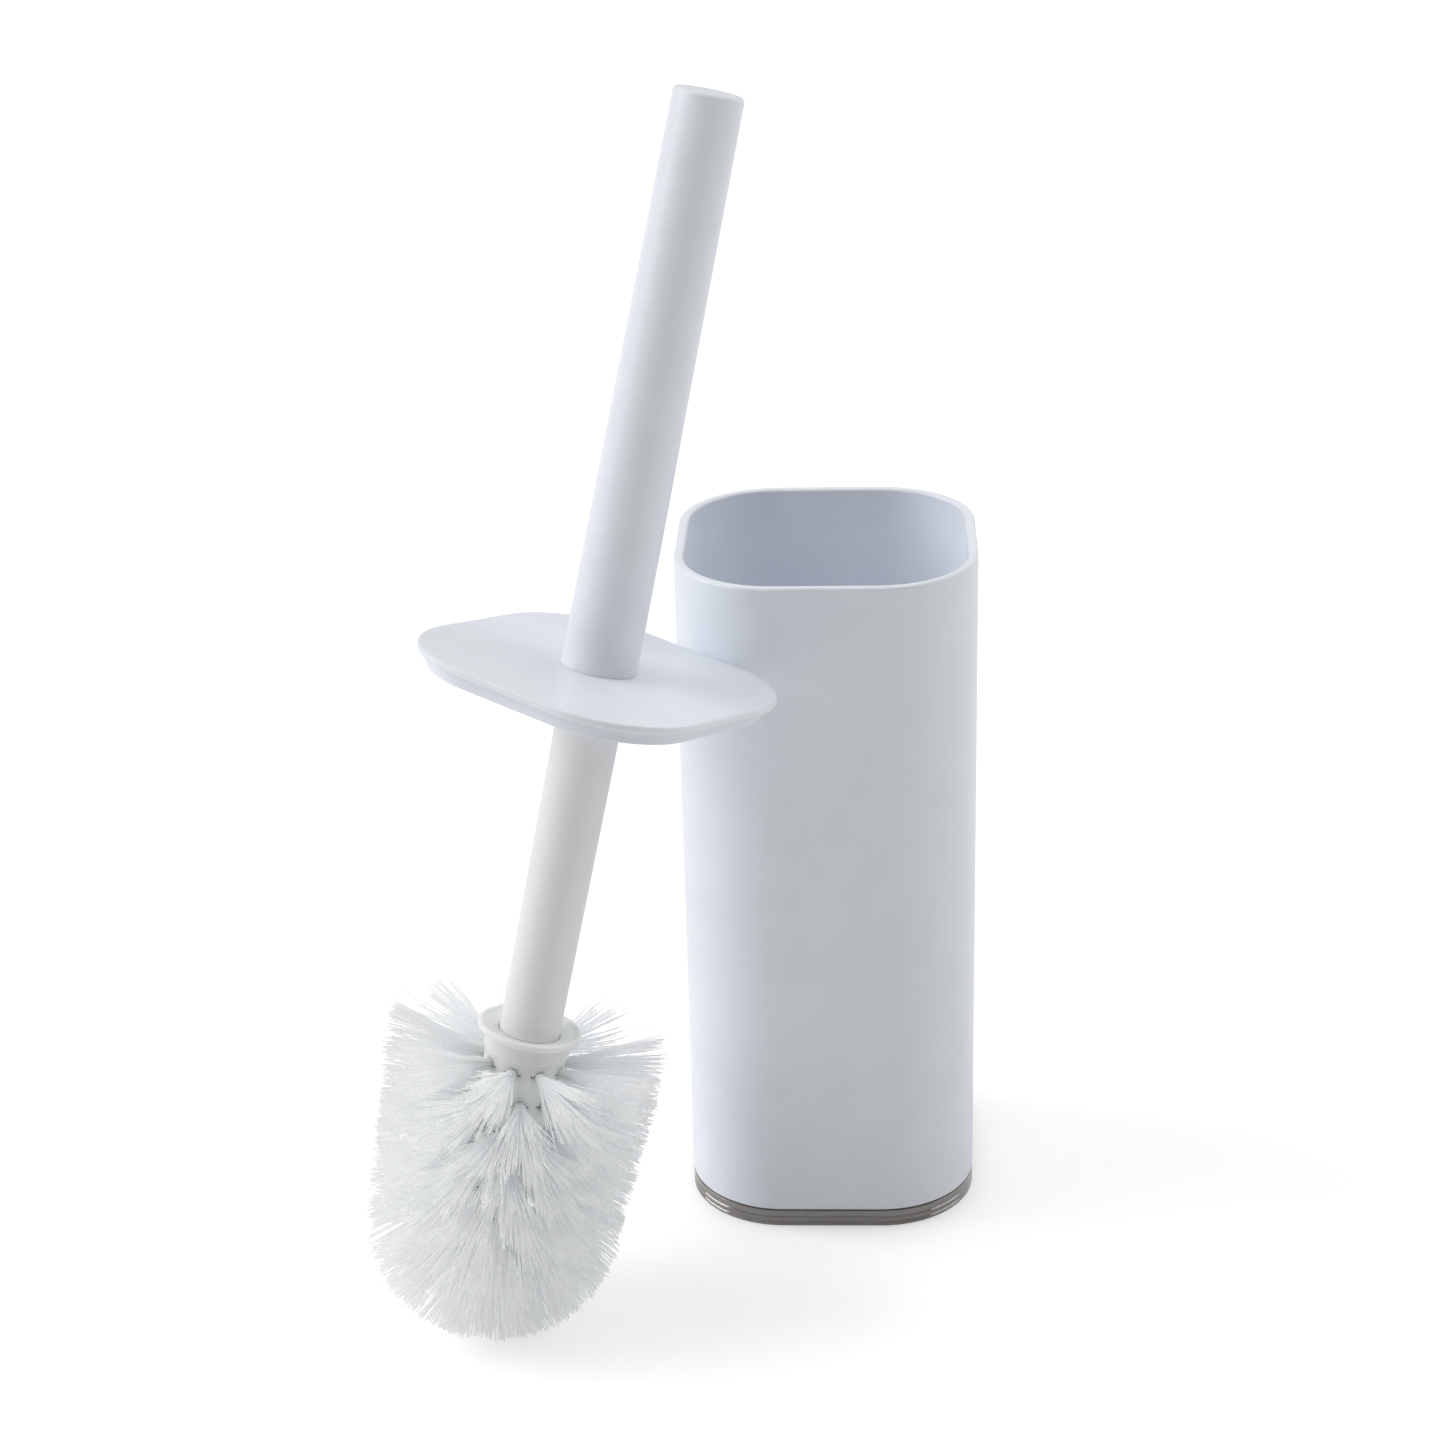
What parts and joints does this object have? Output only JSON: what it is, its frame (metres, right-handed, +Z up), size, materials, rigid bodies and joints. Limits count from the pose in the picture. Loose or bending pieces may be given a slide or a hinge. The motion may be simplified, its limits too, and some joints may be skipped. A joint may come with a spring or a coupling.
{
  "type": "toilet brush holder",
  "caption": "Tall square holder with round corners on a clear foot, with a round toilet brush whose square lid closes it; the brush stands beside it.",
  "frame": {"origin": "the centre of the underside of the holder's clear foot, on the surface it stands on", "axes": "+Z up, the holder's four sides face +X, -X, +Y and -Y, and the brush stands beside the -X -Y corner and leans towards +X and +Y"},
  "size_m": [0.2013, 0.195, 0.4005],
  "materials": {
    "white_gloss": "smooth moulded gloss",
    "white_satin": "satin moulded",
    "natural_core": "uncoloured translucent plastic, satin",
    "clear_foot": "clear moulded plastic, polished, looks smoky grey",
    "bristle": "white synthetic filaments"
  },
  "bodies": {
    "holder": {"cup": "white_gloss", "base_foot": "clear_foot"},
    "brush": {"handle": "white_gloss", "lid": "white_gloss", "joining_plug": "white_satin", "rod": "white_satin"},
    "brush_head": {"head_core": "natural_core", "tuft_1_1": "bristle", "tuft_1_2": "bristle", "tuft_1_3": "bristle", "tuft_1_4": "bristle", "tuft_1_5": "bristle", "tuft_1_6": "bristle", "tuft_1_7": "bristle", "tuft_1_8": "bristle", "tuft_1_9": "bristle", "tuft_2_1": "bristle", "tuft_2_2": "bristle", "tuft_2_3": "bristle", "tuft_2_4": "bristle", "tuft_2_5": "bristle", "tuft_2_6": "bristle", "tuft_2_7": "bristle", "tuft_2_8": "bristle", "tuft_2_9": "bristle", "tuft_3_1": "bristle", "tuft_3_2": "bristle", "tuft_3_3": "bristle", "tuft_3_4": "bristle", "tuft_3_5": "bristle", "tuft_3_6": "bristle", "tuft_3_7": "bristle", "tuft_3_8": "bristle", "tuft_3_9": "bristle", "tuft_4_1": "bristle", "tuft_4_2": "bristle", "tuft_4_3": "bristle", "tuft_4_4": "bristle", "tuft_4_5": "bristle", "tuft_4_6": "bristle", "tuft_4_7": "bristle", "tuft_4_8": "bristle", "tuft_4_9": "bristle", "tuft_5_1": "bristle", "tuft_5_2": "bristle", "tuft_5_3": "bristle", "tuft_5_4": "bristle", "tuft_5_5": "bristle", "tuft_5_6": "bristle", "tuft_5_7": "bristle", "tuft_5_8": "bristle", "tuft_6_1": "bristle", "tuft_6_2": "bristle", "tuft_6_3": "bristle", "tuft_6_4": "bristle", "tuft_6_5": "bristle", "tuft_6_6": "bristle", "tuft_end_1": "bristle", "tuft_end_2": "bristle", "tuft_end_3": "bristle"}
  },
  "joints": [
    {"name": "brush_lift", "type": "slide", "parent": "holder", "child": "brush", "axis": [0, 0, 1], "range_m": [0, 0.26]},
    {"name": "head_unscrew", "type": "hinge", "parent": "brush", "child": "brush_head", "pos_m": [-0.0963, -0.0954, 0.1041], "axis": [-0.2122, -0.123, -0.9694], "range_deg": [0, 900]}
  ]
}
